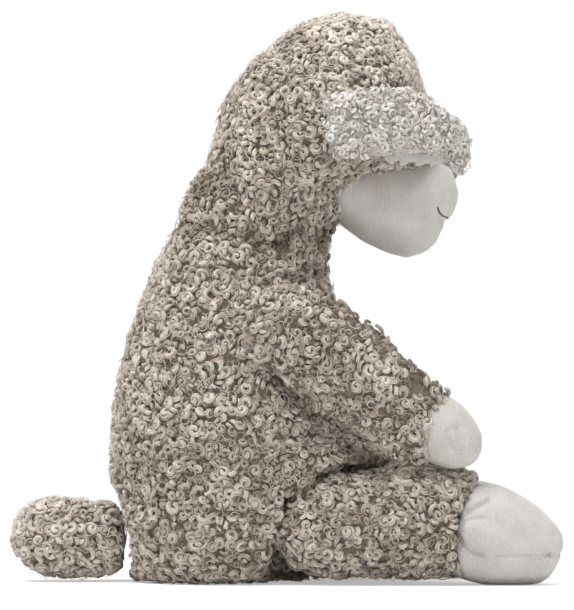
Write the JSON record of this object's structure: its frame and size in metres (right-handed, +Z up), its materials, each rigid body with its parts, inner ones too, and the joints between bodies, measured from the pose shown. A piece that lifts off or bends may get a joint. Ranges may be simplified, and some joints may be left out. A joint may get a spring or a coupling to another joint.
{
  "type": "plush sheep",
  "caption": "Sitting plush sheep in curly fleece with velvet muzzle, hands and feet, drooping ears and a fat tail.",
  "frame": {"origin": "on the floor, under the middle of the sitting sheep", "axes": "+X the way the sheep faces, +Y its left side, +Z up"},
  "size_m": [0.3035, 0.1506, 0.315],
  "materials": {
    "fleece": "curly fleece pile, warm grey beige",
    "ear_fleece": "curly fleece pile, paler",
    "velvet": "short brushed velvet",
    "nose_thread": "embroidery thread",
    "eye_plastic": "polished",
    "washer_plastic": "plain",
    "stuffing": "loose polyester fibre",
    "pellet_cloth": "woven bag of pellets"
  },
  "bodies": {
    "torso": {"body_cover": "fleece", "seat_panel": "fleece", "body_stuffing": "stuffing", "pellet_bag": "pellet_cloth"},
    "head": {"head_cover": "fleece", "muzzle_cover": "velvet", "head_stuffing": "stuffing", "nose_stitch": "nose_thread", "eye_left": "eye_plastic", "eye_right": "eye_plastic", "eye_washer_left": "washer_plastic", "eye_washer_right": "washer_plastic"},
    "tail": {"tail_cover": "fleece", "tail_stuffing": "stuffing"},
    "ear_left": {"ear_outer_left": "ear_fleece", "ear_lining_left": "velvet"},
    "arm_left": {"arm_sleeve_left": "fleece", "hand_left": "velvet", "arm_stuffing_left": "stuffing"},
    "leg_left": {"leg_sleeve_left": "fleece", "foot_upper_left": "velvet", "foot_sole_left": "velvet", "leg_stuffing_left": "stuffing"},
    "ear_right": {"ear_outer_right": "ear_fleece", "ear_lining_right": "velvet"},
    "arm_right": {"arm_sleeve_right": "fleece", "hand_right": "velvet", "arm_stuffing_right": "stuffing"},
    "leg_right": {"leg_sleeve_right": "fleece", "foot_upper_right": "velvet", "foot_sole_right": "velvet", "leg_stuffing_right": "stuffing"}
  },
  "joints": [
    {"name": "neck_nod", "type": "hinge", "parent": "torso", "child": "head", "pos_m": [-0.01472, 0, 0.196], "axis": [0, 1, 0], "range_deg": [-30, 5]},
    {"name": "ear_left_swing", "type": "hinge", "parent": "head", "child": "ear_left", "pos_m": [0.02499, 0.05606, 0.249], "axis": [-0.2756, 0, 0.9613], "range_deg": [0, 60]},
    {"name": "ear_right_swing", "type": "hinge", "parent": "head", "child": "ear_right", "pos_m": [0.02499, -0.05606, 0.249], "axis": [0.2756, 0, -0.9613], "range_deg": [0, 60]},
    {"name": "arm_left_lift", "type": "hinge", "parent": "torso", "child": "arm_left", "pos_m": [0.00122, 0.05204, 0.13916], "axis": [0, -1, 0], "range_deg": [0, 55]},
    {"name": "arm_right_lift", "type": "hinge", "parent": "torso", "child": "arm_right", "pos_m": [0.00122, -0.05204, 0.13916], "axis": [0, -1, 0], "range_deg": [0, 55]},
    {"name": "leg_left_swing", "type": "hinge", "parent": "torso", "child": "leg_left", "pos_m": [0.02214, 0.03604, 0.03227], "axis": [0, -1, 0], "range_deg": [-80, 0]},
    {"name": "leg_right_swing", "type": "hinge", "parent": "torso", "child": "leg_right", "pos_m": [0.02214, -0.03604, 0.03227], "axis": [0, -1, 0], "range_deg": [-80, 0]},
    {"name": "tail_lift", "type": "hinge", "parent": "torso", "child": "tail", "pos_m": [-0.09383, 0, 0.0228], "axis": [0, 1, 0], "range_deg": [0, 35]}
  ]
}
